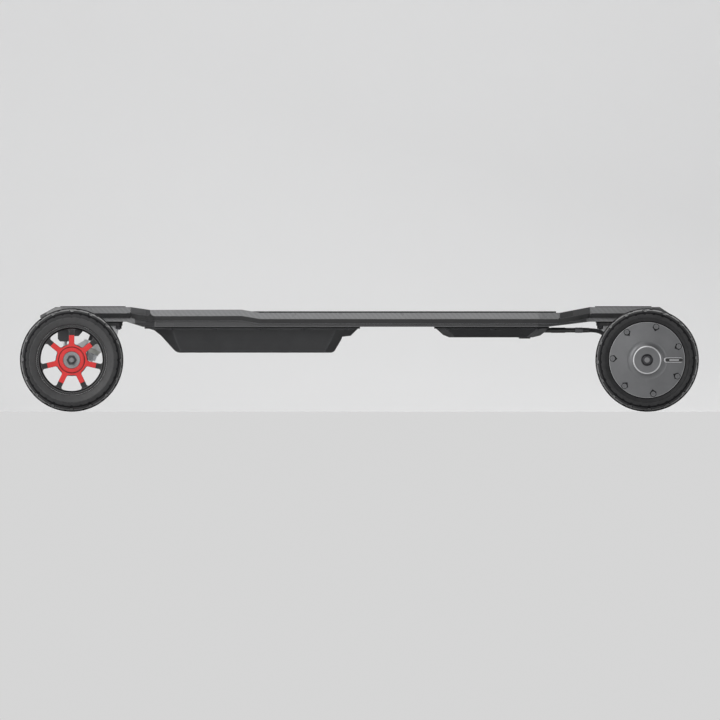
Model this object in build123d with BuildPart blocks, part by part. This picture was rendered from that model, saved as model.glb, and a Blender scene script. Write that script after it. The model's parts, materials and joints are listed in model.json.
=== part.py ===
"""Electric skateboard: composite deck, two tilting trucks, four treaded tyres, rear hub motors.

Frame: +X runs from the nose to the tail, +Y to the rider's right, +Z up.
The origin is on the ground, midway between the axles, on the centre line.
Heights are drawn from a datum 80 mm under the axles, and save() raises every
piece by LIFT, so that the tyres stand on the ground.
The front truck is drawn first and mirrored to make the rear one, and each
left wheel is mirrored to make the right one.
"""
import os
from math import cos, pi, radians, sin, tan

from build123d import *

os.makedirs("parts", exist_ok=True)

# ---------------------------------------------------------------- driving dimensions (mm)
AXLE_X = 458.0          # half the wheelbase
AXLE_Z = 80.0           # axle height above the drawing datum
TYRE_R = 82.5
LIFT = TYRE_R - AXLE_Z
WHEEL_Y = 125.0         # wheel mid-plane from the centre line
TYRE_HALF = 28.0        # half the tyre's width
GAP = 0.3               # clearance between pieces that move apart

DECK_TOP = 155.3        # standing surface
END_TOP = 164.3         # nose and tail surface
FLARE_TOP = 160.2       # raised edges beside the front foot
DECK_BOTTOM = 132.8
END_BOTTOM = 141.0
SLAB = 17.5             # edge slab: upright rail and the chamfer under it
RAIL_CHAMFER = 7.5
DECK_HALF = 125.0       # half width of the platform
END_HALF = 62.0         # half width of nose and tail
GRIP = 2.2
END_GRIP = 1.3

CASE_TOP = 131.8        # both under-deck cases end here, under a 1 mm gasket
CASE_WALL = 2.5
FLANGE = 2.0
FLANGE_REACH = 7.0
BATTERY_BOTTOM = 91.6
BATTERY_HALF = 97.0
CONTROLLER_BOTTOM = 116.0
CONTROLLER_HALF = 90.0
CELL_R = 9.2
CELL_LENGTH = 65.0
SCREW_R = 2.0

LEAN_SLOPE = radians(20)    # pivot axis above the horizontal, rising towards the nose
PIVOT_X = -AXLE_X - 10.6
PIVOT_Z = 119.5
RING_X = -AXLE_X + 37.0
RING_Z = PIVOT_Z - (RING_X - PIVOT_X) * tan(LEAN_SLOPE)
RING_HALF = 5.0         # half the thickness of the hanger's ring
BUSHING = 12.5          # height of the upper bushing
KINGPIN_R = 5.0
BALL_R = 5.5
BASE_TOP = 139.5        # baseplate flange, under a 1.5 mm riser pad
BASE_BOTTOM = 134.5
BOLT_X = (AXLE_X - 11.5, AXLE_X - 75.0)
BOLT_Y = 20.65
BOLT_R = 2.5
HANGER_END = 98.5

SPOKES = 7
SPOKE_WIDTH = 8.8
RIM_R = 55.8
WINDOW_R = 49.2
HUB_R = 24.4
STAR_R = 39.6
AXLE_R = 4.0
MOTOR_AXLE_R = 6.0
BEARING_R = 11.0
MOTOR_BEARING_R = 14.0
COVER_R = 60.4
COVER_SCREW_R = 55.0
COVER_SCREW_ANGLE = 23.2
FRONT_TREAD_ANGLE = 11.25
REAR_TREAD_ANGLE = 2.8
CROWN_NOTCHES = 16
MAGNETS = 14
STATOR_TEETH = 24

PLUG_Y = 50.0           # motor leads leave the controller this far from the centre line
PLUG_Z = 127.4
LEAD_R = 3.3
PORT_X = -205.0         # charge port, on the battery case's right wall
PORT_Z = 113.0
PORT_Y = 99.0           # its outer face
BUTTON_X = 263.0
BUTTON_Y = -40.0

kingpin_plane = Plane(
    origin=(RING_X, 0, RING_Z),
    x_dir=(cos(LEAN_SLOPE), 0, -sin(LEAN_SLOPE)),
    z_dir=(sin(LEAN_SLOPE), 0, cos(LEAN_SLOPE)),
)


# ---------------------------------------------------------------- helpers
def save(piece, name):
    """Raise a finished piece onto the ground frame, label it and write its STEP file."""
    raised = Pos(0, 0, LIFT) * piece.part
    raised.label = name
    export_step(raised, f"parts/{name}.step")


def both_sides(points):
    """Half a plan with y above zero, run on round its mirrored half."""
    return points + [(x, -y) for x, y in reversed(points)]


def across(points):
    """Half a cross-section, run on round its mirrored half."""
    return points + [(-y, z) for y, z in reversed(points)]


def save_front_and_rear(front, name):
    """One node that holds a front piece and its mirror image at the rear."""
    with BuildPart() as pair:
        add(front.part)
        mirror(front.part, about=Plane.YZ)
    save(pair, name)


def save_front_then_rear(front, name):
    """Two nodes: the front piece, and its mirror image at the rear."""
    save(front, f"front_{name}")
    with BuildPart() as rear:
        mirror(front.part, about=Plane.YZ)
    save(rear, f"rear_{name}")


def save_left_then_right(left, name):
    """Two nodes: the left piece, and its mirror image on the right."""
    end, what = name
    save(left, f"{end}_left_{what}")
    with BuildPart() as right:
        mirror(left.part, about=Plane.XZ)
    save(right, f"{end}_right_{what}")


# ---------------------------------------------------------------- deck
PLAN = both_sides([
    (-508, 24), (-498, 46), (-474, END_HALF), (-364, END_HALF), (-333, 118), (-296, DECK_HALF),
    (285, DECK_HALF), (319, 118), (367, END_HALF), (466, END_HALF), (490, 46), (500, 24),
])
TOP_LINE = [
    (-484, END_TOP), (-364, END_TOP), (-333, FLARE_TOP - 0.4), (-188, FLARE_TOP),
    (-158, DECK_TOP), (319, DECK_TOP), (367, END_TOP), (478, END_TOP),
]
NOSE_TIP = (-508, 151.0)
TAIL_TIP = (500, 150.0)
SLAB_LINE = (
    [NOSE_TIP] + TOP_LINE + [TAIL_TIP, (500, END_TOP - SLAB)]
    + [(x, z - SLAB) for x, z in reversed(TOP_LINE)] + [(-508, END_TOP - SLAB)]
)
BELLY_LINE = [
    (-490, 150), (-364, 150), (-333, 146), (-158, 142), (319, 142), (367, 150), (482, 150),
    (476, END_BOTTOM), (367, END_BOTTOM), (300, DECK_BOTTOM), (-345, DECK_BOTTOM),
    (-371, END_BOTTOM), (-484, END_BOTTOM),
]
DISH = both_sides([(-340, 60), (-322, 102), (-150, 102)])
DISH_DEPTH = 12.0
DISH_SLOPE = 50.0
END_RANGE = (-475, 467)     # the rail's chamfer stops short of the tips

with BuildPart() as slab:
    with BuildSketch(Plane.XZ):
        Polygon(*SLAB_LINE)
    extrude(amount=DECK_HALF + 1, both=True)
    with BuildSketch(Plane.XY.offset(DECK_BOTTOM)):
        Polygon(*PLAN)
    extrude(amount=2 * SLAB, mode=Mode.INTERSECT)
    underside = slab.faces().filter_by(lambda face: face.normal_at().Z < -0.5)
    rails = underside.edges().filter_by(Axis.Y, reverse=True)
    rails = rails.filter_by_position(Axis.X, *END_RANGE)
    chamfer(rails, RAIL_CHAMFER)

with BuildPart() as belly:
    with BuildSketch(Plane.XZ):
        Polygon(*BELLY_LINE)
    extrude(amount=DECK_HALF, both=True)
    with BuildSketch(Plane.XY.offset(DECK_BOTTOM)):
        Polygon(*PLAN)
        offset(amount=-RAIL_CHAMFER - 4, kind=Kind.INTERSECTION)
    extrude(amount=2 * SLAB, mode=Mode.INTERSECT)

bolt_spots = [(end * x, side * BOLT_Y) for end in (-1, 1) for x in BOLT_X for side in (-1, 1)]
battery_screw_spots = [(x, side * (BATTERY_HALF + 3.5)) for x in range(-300, 0, 70) for side in (-1, 1)]
controller_screw_spots = [
    (x, side * (CONTROLLER_HALF + 3.5)) for x in (140, 212, 284) for side in (-1, 1)
]
case_screw_spots = battery_screw_spots + controller_screw_spots

with BuildPart() as deck_shell:
    add(slab.part)
    add(belly.part)
    with BuildSketch(Plane.XY.offset(DECK_TOP)):
        Polygon(*DISH)
    extrude(amount=DISH_DEPTH, taper=-DISH_SLOPE, mode=Mode.SUBTRACT)
    with Locations(*[Location((x, y, END_TOP)) for x, y in bolt_spots]):
        CounterSinkHole(BOLT_R + 0.25, 2 * BOLT_R + 0.25, depth=2 * SLAB)
    with Locations(*[Location((x, y, DECK_BOTTOM), (180, 0, 0)) for x, y in case_screw_spots]):
        Hole(SCREW_R + 0.05, depth=10)
save(deck_shell, "deck_shell")

GRIP_PLAN = both_sides([
    (-337, 58), (-320, 100.5), (-152, 100.5), (-144, 119.5), (285, 119.5), (313, 113.5),
])
END_GRIPS = [(-424, 104), (420, 90)]


with BuildPart() as grip_tape:
    with BuildSketch(Plane.XY.offset(DECK_TOP)):
        Polygon(*GRIP_PLAN)
    extrude(amount=GRIP)
    with BuildSketch(Plane.XY.offset(END_TOP)):
        for centre, length in END_GRIPS:
            with Locations((centre, 0)):
                RectangleRounded(length, 2 * END_HALF - 12, 8)
        with Locations(*bolt_spots):
            Circle(2 * BOLT_R + 1.5, mode=Mode.SUBTRACT)
    extrude(amount=END_GRIP)
save(grip_tape, "grip_tape")


# ---------------------------------------------------------------- under-deck cases
BATTERY_SIDE = [
    (-341, CASE_TOP), (-326, 127), (-316, 119), (-291, BATTERY_BOTTOM), (-41, BATTERY_BOTTOM),
    (-29, 112), (-27, 117), (-14, 118.5), (0, CASE_TOP),
]
BATTERY_SECTION = across([
    (BATTERY_HALF, CASE_TOP), (BATTERY_HALF - 7, 108.7), (BATTERY_HALF - 11, BATTERY_BOTTOM),
])
CONTROLLER_SIDE = [
    (120, CASE_TOP), (133, 120), (143, CONTROLLER_BOTTOM), (276, CONTROLLER_BOTTOM),
    (288, 119), (296, 125), (301, CASE_TOP),
]
CONTROLLER_SECTION = across([
    (CONTROLLER_HALF, CASE_TOP), (CONTROLLER_HALF - 4, 121), (CONTROLLER_HALF - 8, CONTROLLER_BOTTOM),
])
FLANGE_PLANS = ((-342, 1, BATTERY_HALF + FLANGE_REACH), (119, 302, CONTROLLER_HALF + FLANGE_REACH))
CASE_EDGE = 4.0
BATTERY_BENDS = [(-291, BATTERY_BOTTOM, 14), (-41, BATTERY_BOTTOM, 9)]
CONTROLLER_BENDS = [(143, CONTROLLER_BOTTOM, 5), (276, CONTROLLER_BOTTOM, 5)]

# Three points on each slanting cut across a case's left and right corners.
BATTERY_CUTS = [
    [(-341, 52, CASE_TOP), (-299, BATTERY_HALF, CASE_TOP), (-284, 86, BATTERY_BOTTOM)],
    [(-41, 70, BATTERY_BOTTOM), (-56, 86, BATTERY_BOTTOM), (-42, 93, 118)],
]
CONTROLLER_CUTS = [
    [(120, 66, CASE_TOP), (136, CONTROLLER_HALF, CASE_TOP), (152, 82, CONTROLLER_BOTTOM)],
    [(301, 66, CASE_TOP), (286, CONTROLLER_HALF, CASE_TOP), (266, 82, CONTROLLER_BOTTOM)],
]


def cut_corners(body, cuts, inset):
    """A case with its corners cut off along slanting planes, moved inwards by the inset."""
    middle = body.center()
    for cut in cuts:
        for side in (-1, 1):
            first, second, third = [Vector(x, side * y, z) for x, y, z in cut]
            normal = (second - first).cross(third - first)
            if normal.dot(middle - first) < 0:
                normal = -normal
            keeper = Plane(origin=first, z_dir=normal).offset(inset)
            body = split(body, bisect_by=keeper, keep=Keep.TOP)
    return body


def corner_near(sketch, x, y):
    """The corner of a sketch nearest to a point of its plane."""
    return sketch.vertices().sort_by(lambda corner: abs(corner.X - x) + abs(corner.Y - y))[0]


def tray(side, section, bends, cuts):
    """The outside of a case: its rounded side view carried across, cut to its cross-section."""
    half, bottom = max(section, key=lambda point: point[0] - point[1])
    with BuildPart() as block:
        with BuildSketch(Plane.XZ) as side_view:
            Polygon(*side)
            for x, z, radius in bends:
                fillet(corner_near(side_view, x, z), radius)
        extrude(amount=DECK_HALF, both=True)
        with BuildSketch(Plane.YZ) as cross_section:
            Polygon(*section)
            for edge in (-half, half):
                fillet(corner_near(cross_section, edge, bottom), CASE_EDGE)
        extrude(amount=AXLE_X, both=True, mode=Mode.INTERSECT)
    return cut_corners(block.part, cuts, 0)


def tray_room(side, section, cuts):
    """The space inside a case, open at the top."""
    with BuildPart() as room:
        with BuildSketch(Plane.XZ):
            Polygon(*side)
            offset(amount=-CASE_WALL, kind=Kind.INTERSECTION)
        extrude(amount=DECK_HALF, both=True)
        with BuildSketch(Plane.YZ):
            Polygon(*section)
            offset(amount=-CASE_WALL, kind=Kind.INTERSECTION)
        extrude(amount=AXLE_X, both=True, mode=Mode.INTERSECT)
    with BuildPart() as open_room:
        add(cut_corners(room.part, cuts, CASE_WALL))
        extrude(open_room.faces().sort_by(Axis.Z)[-1], amount=2 * CASE_WALL)
    return open_room.part


def flange_sketch(plan, inner):
    """A rounded frame for a flange or its gasket, between its outline and an inner one."""
    low, high, half = plan
    with BuildSketch() as frame:
        with Locations(((low + high) / 2, 0)):
            RectangleRounded(high - low, 2 * half, 24)
            if inner:
                RectangleRounded(high - low - 2 * inner, 2 * half - 2 * inner, 16, mode=Mode.SUBTRACT)
    return frame.sketch


with BuildPart() as battery_case:
    add(tray(BATTERY_SIDE, BATTERY_SECTION, BATTERY_BENDS, BATTERY_CUTS))
    with BuildSketch(Plane.XY.offset(CASE_TOP - FLANGE)):
        add(flange_sketch(FLANGE_PLANS[0], 0))
        with Locations(*battery_screw_spots):
            Circle(SCREW_R + 0.1, mode=Mode.SUBTRACT)
    extrude(amount=FLANGE)
    add(tray_room(BATTERY_SIDE, BATTERY_SECTION, BATTERY_CUTS), mode=Mode.SUBTRACT)
    with BuildSketch(Plane.XZ.offset(-BATTERY_HALF + 15)):
        with Locations((PORT_X, PORT_Z)):
            Circle(10.1)
    extrude(amount=-20, mode=Mode.SUBTRACT)
save(battery_case, "battery_case")

plug_spots = [(-PLUG_Y, PLUG_Z), (PLUG_Y, PLUG_Z)]
BUTTON_R = 9.4

with BuildPart() as controller_case:
    add(tray(CONTROLLER_SIDE, CONTROLLER_SECTION, CONTROLLER_BENDS, CONTROLLER_CUTS))
    with BuildSketch(Plane.XY.offset(CASE_TOP - FLANGE)):
        add(flange_sketch(FLANGE_PLANS[1], 0))
        with Locations(*controller_screw_spots):
            Circle(SCREW_R + 0.1, mode=Mode.SUBTRACT)
    extrude(amount=FLANGE)
    add(tray_room(CONTROLLER_SIDE, CONTROLLER_SECTION, CONTROLLER_CUTS), mode=Mode.SUBTRACT)
    with BuildSketch(Plane.YZ.offset(284)):
        with Locations(*plug_spots):
            Circle(4.7)
    extrude(amount=30, mode=Mode.SUBTRACT)
    with BuildSketch(Plane.XY.offset(CONTROLLER_BOTTOM - 1)):
        with Locations((BUTTON_X, BUTTON_Y)):
            Circle(BUTTON_R + GAP)
    extrude(amount=CASE_WALL + 2, mode=Mode.SUBTRACT)
save(controller_case, "controller_case")

with BuildPart() as case_gaskets:
    with BuildSketch(Plane.XY.offset(CASE_TOP)):
        for plan in FLANGE_PLANS:
            add(flange_sketch(plan, FLANGE_REACH + 2))
        with Locations(*case_screw_spots):
            Circle(SCREW_R + 0.1, mode=Mode.SUBTRACT)
    extrude(amount=DECK_BOTTOM - CASE_TOP)
save(case_gaskets, "case_gaskets")

with BuildPart() as case_screw:
    with BuildSketch(Plane.XZ):
        Polygon((0, -2.2), (2.4, -2.2), (3.4, -1.2), (3.4, 0), (SCREW_R, 0), (SCREW_R, 12), (0, 12))
    revolve(axis=Axis.Z)

with BuildPart() as case_screws:
    with Locations(*[(x, y, CASE_TOP - FLANGE) for x, y in case_screw_spots]):
        add(case_screw.part)
save(case_screws, "case_screws")

CELL_COLUMNS = 12
CELL_PITCH = 18.9
CELL_FLOOR = BATTERY_BOTTOM + CASE_WALL + 0.3
cell_spots = [
    (-273.5 + CELL_PITCH * column, CELL_FLOOR + CELL_R + 2 * (CELL_R + 0.1) * layer)
    for column in range(CELL_COLUMNS)
    for layer in range(2)
]

with BuildPart() as battery_cells:
    for row in (-1, 1):
        with BuildSketch(Plane.XZ.offset(row * 33.5 - CELL_LENGTH / 2)):
            with Locations(*cell_spots):
                Circle(CELL_R)
        extrude(amount=CELL_LENGTH)
save(battery_cells, "battery_cells")

with BuildPart() as battery_board:
    with BuildSketch(Plane.XY.offset(123)):
        with Locations((-31, 0)):
            Rectangle(26, 120)
    extrude(amount=1.6)
    with BuildSketch(Plane.XY.offset(124.6)):
        with Locations((-31, 0)):
            with GridLocations(0, 15, 1, 7):
                Rectangle(10, 9)
    extrude(amount=2.4)
save(battery_board, "battery_board")

with BuildPart() as controller_board:
    with BuildSketch(Plane.XY.offset(121.5)):
        with Locations((198, 0)):
            Rectangle(88, 130)
    extrude(amount=1.6)
    with BuildSketch(Plane.XY.offset(123.1)):
        with Locations((220, 0)):
            with GridLocations(22, 18, 2, 6):
                Rectangle(15, 10)
    extrude(amount=4.5)
    with BuildSketch(Plane.XY.offset(123.1)):
        with Locations((172, 0)):
            with GridLocations(14, 14, 2, 4):
                Circle(5)
    extrude(amount=8)
save(controller_board, "controller_board")


# ---------------------------------------------------------------- button and charge port
with BuildPart() as power_button:
    with BuildSketch(Plane.XY.offset(CONTROLLER_BOTTOM - 2)):
        with Locations((BUTTON_X, BUTTON_Y)):
            Circle(BUTTON_R)
    extrude(amount=CASE_WALL + 2.3)
    with BuildSketch(Plane.XY.offset(CONTROLLER_BOTTOM + CASE_WALL + GAP)):
        with Locations((BUTTON_X, BUTTON_Y)):
            Circle(BUTTON_R + 2)
    extrude(amount=1.4)
    chamfer(power_button.edges().group_by(Axis.Z)[0], 0.6)
save(power_button, "power_button")

HINGE_Z = PORT_Z + 12.8
HINGE_Y = PORT_Y + 1.8
EAR_PROFILE = [
    (PORT_Y - 2.6, PORT_Z + 4), (PORT_Y, PORT_Z + 4), (PORT_Y, HINGE_Z - 3.4), (PORT_Y + 4, HINGE_Z - 2.5),
    (PORT_Y + 4, HINGE_Z + 1.5), (PORT_Y + 3.2, HINGE_Z + 2.2), (PORT_Y - 2.6, HINGE_Z + 2.2),
]
right_face = Plane(origin=(PORT_X, 0, PORT_Z), x_dir=(-1, 0, 0), z_dir=(0, 1, 0))

with BuildPart() as charge_socket:
    with BuildSketch(right_face.offset(86)):
        Circle(10)
    extrude(amount=PORT_Y - 86)
    with BuildSketch(right_face.offset(89)):
        Circle(6.5)
    extrude(amount=PORT_Y - 89, mode=Mode.SUBTRACT)
    with BuildSketch(right_face.offset(89)):
        with PolarLocations(3, 3, start_angle=90):
            Circle(0.8)
    extrude(amount=2)
    for ear in (-1, 1):
        with BuildSketch(Plane.YZ.offset(PORT_X + ear * 6.5 - 1.5)):
            Polygon(*EAR_PROFILE)
        extrude(amount=3)
    with BuildSketch(Plane.YZ.offset(PORT_X - 6)):
        with Locations((HINGE_Y, HINGE_Z)):
            Circle(1)
    extrude(amount=12)
save(charge_socket, "charge_socket")

with BuildPart() as charge_flap:
    with BuildSketch(right_face.offset(PORT_Y + GAP)):
        Circle(9.6)
        with Locations((0, HINGE_Z - PORT_Z - 3)):
            Rectangle(8, 6)
    extrude(amount=2)
    with BuildSketch(Plane.YZ.offset(PORT_X - 4)):
        with Locations((HINGE_Y, HINGE_Z)):
            Circle(1.9)
    extrude(amount=8)
    with BuildSketch(Plane.YZ.offset(PORT_X - 4)):
        with Locations((HINGE_Y, HINGE_Z)):
            Circle(1.05)
    extrude(amount=8, mode=Mode.SUBTRACT)
save(charge_flap, "charge_flap")


# ---------------------------------------------------------------- truck mounts on the deck
BASE_CENTRE = (-AXLE_X + 30, 0)

with BuildPart() as riser_pad:
    with BuildSketch(Plane.XY.offset(BASE_TOP)):
        with Locations(BASE_CENTRE):
            RectangleRounded(104, 68, 8)
        with Locations(*bolt_spots[:4]):
            Circle(BOLT_R + 0.1, mode=Mode.SUBTRACT)
    extrude(amount=END_BOTTOM - BASE_TOP)
save_front_and_rear(riser_pad, "riser_pads")

PIVOT_BLOCK = [
    (-480, BASE_BOTTOM), (-480, 113.5), (-476.5, 109.5), (-461, 109.5), (-457.5, 113), (-457.5, BASE_BOTTOM),
]
BASE_RIB = [(-458, BASE_BOTTOM), (-458, 118), (-447, 118), (-441, 124.5), (-437.2, BASE_BOTTOM)]
CUP_R = 7.8

with BuildPart() as baseplate:
    with BuildSketch(Plane.XY.offset(BASE_BOTTOM)):
        with Locations(BASE_CENTRE):
            RectangleRounded(102, 66, 8)
        with Locations(*bolt_spots[:4]):
            Circle(BOLT_R + 0.1, mode=Mode.SUBTRACT)
    extrude(amount=BASE_TOP - BASE_BOTTOM)
    with BuildSketch(Plane.XZ):
        Polygon(*PIVOT_BLOCK)
    extrude(amount=12, both=True)
    with BuildSketch(Plane.XZ):
        Polygon(*BASE_RIB)
    extrude(amount=14, both=True)
    with BuildSketch(Plane.XY.offset(PIVOT_Z + 9)):
        with Locations((PIVOT_X, 0)):
            Circle(CUP_R)
    extrude(amount=-30, mode=Mode.SUBTRACT)
save_front_then_rear(baseplate, "baseplate")

SEAT = 19.5             # the block's lower face, along the kingpin from the ring's centre
HEAD = 24.0             # underside of the kingpin's head


def beside_kingpin(inboard, along):
    """Side-view point at this distance square to the kingpin, and along it, from the ring's centre."""
    spot = kingpin_plane.from_local_coords((inboard, 0, along))
    return (spot.X, spot.Z)


KINGPIN_BLOCK = [
    (-436.5, BASE_BOTTOM), beside_kingpin(-22, SEAT), beside_kingpin(22, SEAT), (-386, 116), (-383.5, 127),
    (-383.5, BASE_BOTTOM),
]

with BuildPart() as kingpin_block:
    with BuildSketch(Plane.XZ):
        Polygon(*KINGPIN_BLOCK)
    extrude(amount=15, both=True)
    with BuildSketch(kingpin_plane):
        Circle(KINGPIN_R + 0.05)
    extrude(amount=60, mode=Mode.SUBTRACT)
    with BuildSketch(kingpin_plane.offset(HEAD)):
        Circle(8.8)
    extrude(amount=30, mode=Mode.SUBTRACT)
save_front_and_rear(kingpin_block, "kingpin_blocks")

pivot_section = Plane(origin=(PIVOT_X, 0, PIVOT_Z), x_dir=(1, 0, 0), z_dir=(0, -1, 0))
CAVITY_R = BALL_R + GAP

with BuildPart() as pivot_cup:
    with BuildSketch(pivot_section):
        with BuildLine():
            ThreePointArc(
                (0, CAVITY_R), (CAVITY_R * sin(radians(45)), CAVITY_R * cos(radians(45))), (CAVITY_R, 0)
            )
            Polyline(
                (CAVITY_R, 0), (CAVITY_R, -4), (7.2, -10), (CUP_R, -10), (CUP_R, 9), (0, 9), (0, CAVITY_R)
            )
        make_face()
    revolve(axis=Axis((PIVOT_X, 0, 0), (0, 0, 1)))
save_front_and_rear(pivot_cup, "pivot_cups")

with BuildPart() as kingpin:
    with BuildSketch(kingpin_plane.offset(-25)):
        Circle(KINGPIN_R)
    extrude(amount=25 + HEAD)
    with BuildSketch(kingpin_plane.offset(HEAD)):
        RegularPolygon(8.3, 6)
    extrude(amount=6)
save_front_and_rear(kingpin, "kingpins")

with BuildPart() as kingpin_nut:
    with BuildSketch(kingpin_plane.offset(-22.8)):
        RegularPolygon(8.7, 6)
        Circle(KINGPIN_R + 0.02, mode=Mode.SUBTRACT)
    extrude(amount=9.3)
save_front_and_rear(kingpin_nut, "kingpin_nuts")

with BuildPart() as washers:
    with BuildSketch(kingpin_plane.offset(SEAT - 1.5)):
        Circle(13)
        Circle(KINGPIN_R + 0.1, mode=Mode.SUBTRACT)
    extrude(amount=1.5)
    with BuildSketch(kingpin_plane.offset(-13.5)):
        Circle(10.5)
        Circle(KINGPIN_R + 0.1, mode=Mode.SUBTRACT)
    extrude(amount=1.2)
save_front_and_rear(washers, "bushing_washers")

with BuildPart() as upper_bushing:
    with BuildSketch(kingpin_plane.offset(RING_HALF + GAP)):
        Circle(13.5)
        Circle(KINGPIN_R + GAP, mode=Mode.SUBTRACT)
    extrude(amount=SEAT - 1.5 - RING_HALF - GAP)
save_front_then_rear(upper_bushing, "upper_bushing")

with BuildPart() as lower_bushing:
    with BuildSketch(kingpin_plane.offset(-RING_HALF - GAP)):
        Circle(13)
    with BuildSketch(kingpin_plane.offset(-12.3)):
        Circle(9.5)
    loft()
    with BuildSketch(kingpin_plane.offset(-20)):
        Circle(KINGPIN_R + GAP)
    extrude(amount=30, mode=Mode.SUBTRACT)
save_front_then_rear(lower_bushing, "lower_bushing")

BOLT_LENGTH = 36.0

with BuildPart() as deck_bolt:
    with BuildSketch(Plane.XZ):
        Polygon((0, 0), (2 * BOLT_R, 0), (BOLT_R, -2.8), (BOLT_R, -BOLT_LENGTH), (0, -BOLT_LENGTH))
    revolve(axis=Axis.Z)
    with BuildSketch():
        RegularPolygon(1.9, 6)
    extrude(amount=-1.6, mode=Mode.SUBTRACT)

with BuildPart() as deck_bolts:
    with Locations(*[(x, y, END_TOP) for x, y in bolt_spots]):
        add(deck_bolt.part)
save(deck_bolts, "deck_bolts")

with BuildPart() as deck_bolt_nuts:
    with BuildSketch(Plane.XY.offset(BASE_BOTTOM)):
        with Locations(*bolt_spots):
            RegularPolygon(4.6, 6)
            Circle(BOLT_R + 0.02, mode=Mode.SUBTRACT)
    extrude(amount=-4.9)
save(deck_bolt_nuts, "deck_bolt_nuts")


# ---------------------------------------------------------------- hangers, axles and nuts
def beside_axle(points):
    """Side-view points given as the distance inboard of the front axle, and the height."""
    return [(-AXLE_X + inboard, z) for inboard, z in points]


YOKE = beside_axle([(-8, 88), (-4, 97), (12, 107), (21, 112), (27, 110), (21, 103), (14, 92), (12, 86)])
STEM_ARM = beside_axle([(-14, 86), (-13.8, 104), (-7.4, 104), (0, 94), (2, 86)])
HANGER_PROFILE = across([
    (HANGER_END + 2, 0), (HANGER_END + 2, 6.8), (HANGER_END, 6.8), (HANGER_END, 11), (60, 12), (25, 14.5),
])
axle_section = Plane(origin=(-AXLE_X, 0, AXLE_Z), x_dir=(0, 1, 0), z_dir=(1, 0, 0))
front_axle_line = Axis((-AXLE_X, 0, AXLE_Z), (0, 1, 0))
rear_axle_line = Axis((AXLE_X, 0, AXLE_Z), (0, 1, 0))
front_side = Plane(origin=(-AXLE_X, 0, AXLE_Z), x_dir=(1, 0, 0), z_dir=(0, -1, 0))
rear_side = Plane(origin=(AXLE_X, 0, AXLE_Z), x_dir=(1, 0, 0), z_dir=(0, -1, 0))

with BuildPart() as hanger:
    with BuildSketch(axle_section):
        Polygon(*HANGER_PROFILE)
    revolve(axis=front_axle_line)
    with BuildSketch(Plane.XZ):
        Polygon(*YOKE)
    extrude(amount=15, both=True)
    with BuildSketch(Plane.XZ):
        Polygon(*STEM_ARM)
    extrude(amount=8, both=True)
    with BuildSketch(Plane.XY.offset(100)):
        with Locations((PIVOT_X, 0)):
            Circle(3.4)
    extrude(amount=PIVOT_Z - 100)
    with Locations((PIVOT_X, 0, PIVOT_Z)):
        Sphere(BALL_R)
    with BuildSketch(kingpin_plane.offset(-RING_HALF)):
        Circle(19)
    extrude(amount=2 * RING_HALF)
    with BuildSketch(kingpin_plane.offset(-30)):
        Circle(9)
    extrude(amount=60, mode=Mode.SUBTRACT)

with BuildPart() as front_hanger:
    add(hanger.part)
    with BuildSketch(front_side):
        Circle(AXLE_R + 0.02)
    extrude(amount=WHEEL_Y, both=True, mode=Mode.SUBTRACT)
save(front_hanger, "front_hanger")

lead_route = [
    (366, PLUG_Y, PLUG_Z), (376, PLUG_Y, PLUG_Z), (387, 51, 123.4), (395.5, 54, 115.2), (404.5, 60, 106),
    (420, 70.5, 98), (434, 80, 92),
]
gland_line = 1.35 * (Vector(*lead_route[-1]) - Vector(*lead_route[-2]))
gland_plane = Plane(origin=lead_route[-1], z_dir=gland_line)

with BuildPart() as lead_gland:
    with BuildSketch(gland_plane.offset(0.05)):
        Circle(5.5)
    extrude(amount=gland_line.length)

with BuildPart() as rear_hanger:
    mirror(hanger.part, about=Plane.YZ)
    add(lead_gland.part)
    mirror(lead_gland.part, about=Plane.XZ)
    with BuildSketch(rear_side):
        Circle(MOTOR_AXLE_R + 0.02)
    extrude(amount=WHEEL_Y, both=True, mode=Mode.SUBTRACT)
save(rear_hanger, "rear_hanger")

WASHER_FACE = 17.0      # distances outward from a wheel's mid-plane
NUT_FACE = 19.2
MOTOR_NUT_FACE = 27.2

with BuildPart() as front_axle:
    with BuildSketch(front_side):
        Circle(AXLE_R)
    extrude(amount=WHEEL_Y + NUT_FACE + 10.3, both=True)
    chamfer(front_axle.edges(), 0.6)
save(front_axle, "front_axle")

with BuildPart() as rear_axle:
    with BuildSketch(rear_side):
        Circle(MOTOR_AXLE_R)
    extrude(amount=WHEEL_Y + MOTOR_NUT_FACE - 0.4, both=True)
    with BuildSketch(rear_side):
        Circle(4.2)
    extrude(amount=WHEEL_Y + MOTOR_NUT_FACE + 7.3, both=True)
save(rear_axle, "rear_axle")


def hex_nut(side, face, across_corners, bore, height):
    """A hexagon nut on the left end of an axle."""
    with BuildPart() as nut:
        with BuildSketch(side.offset(WHEEL_Y + face)):
            RegularPolygon(across_corners / 2, 6)
            Circle(bore, mode=Mode.SUBTRACT)
        extrude(amount=height)
        chamfer(nut.edges().filter_by(GeomType.LINE).group_by(Axis.Y)[0], 0.7)
    return nut.part


with BuildPart() as front_axle_nuts:
    add(hex_nut(front_side, NUT_FACE, 16.4, AXLE_R + 0.02, 7.2))
    mirror(about=Plane.XZ)
save(front_axle_nuts, "front_axle_nuts")

with BuildPart() as rear_axle_nuts:
    add(hex_nut(rear_side, MOTOR_NUT_FACE, 17.2, 4.22, 6.0))
    mirror(about=Plane.XZ)
save(rear_axle_nuts, "rear_axle_nuts")

with BuildPart() as hub_washers:
    with BuildSketch(front_side.offset(WHEEL_Y + WASHER_FACE)):
        Circle(13.4)
        Circle(AXLE_R + 0.02, mode=Mode.SUBTRACT)
    extrude(amount=NUT_FACE - WASHER_FACE)
    mirror(about=Plane.XZ)
save(hub_washers, "hub_washers")


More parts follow.
